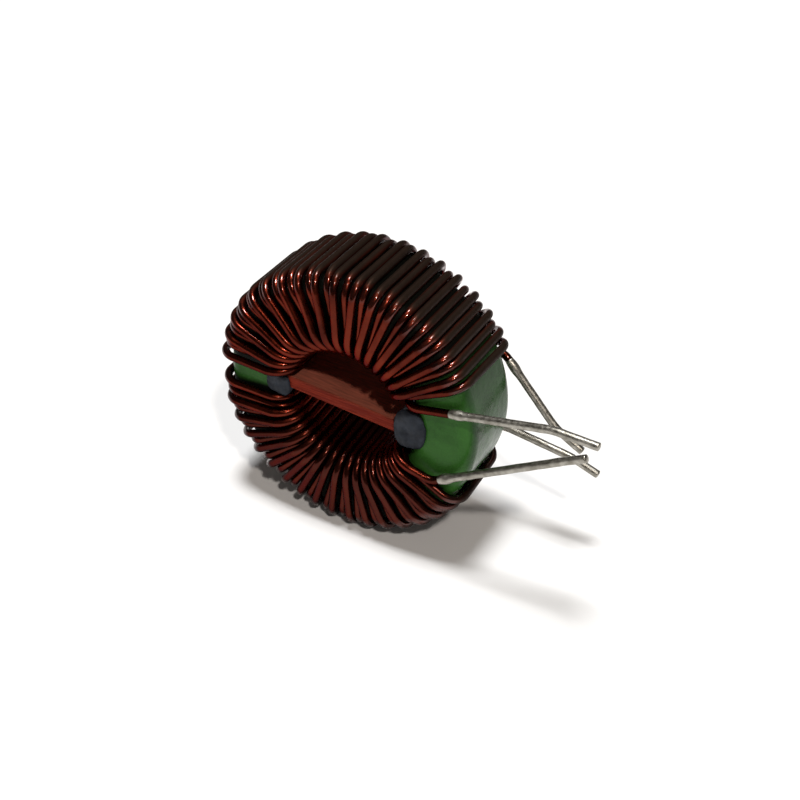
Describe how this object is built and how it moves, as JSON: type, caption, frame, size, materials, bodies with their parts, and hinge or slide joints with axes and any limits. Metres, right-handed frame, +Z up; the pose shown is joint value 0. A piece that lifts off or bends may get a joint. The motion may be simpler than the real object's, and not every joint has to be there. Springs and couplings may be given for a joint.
{
  "type": "toroidal inductor",
  "caption": "Toroidal common-mode inductor: enamelled copper windings on a green coated ferrite ring, a fibre divider glued across the hole, and tinned wire leads.",
  "frame": {"origin": "on the surface, under the centre of the ring, between the turns of the lower winding that it rests on", "axes": "+X along the leads, +Y along the ring's axis away from the front face, +Z up"},
  "size_m": [0.042, 0.0128, 0.0301],
  "materials": {
    "ferrite": "matte",
    "green_coat": "satin",
    "enamelled_copper": "gloss",
    "red_fibre": "matte",
    "grey_glue": "satin",
    "solder": "satin"
  },
  "bodies": {
    "root": {"ferrite_core": "ferrite", "core_coat": "green_coat", "winding_upper": "enamelled_copper", "winding_lower": "enamelled_copper", "divider_board": "red_fibre", "glue_near": "grey_glue", "glue_far": "grey_glue", "solder_upper_front": "solder", "solder_upper_rear": "solder", "solder_lower_front": "solder", "solder_lower_rear": "solder"}
  },
  "joints": []
}
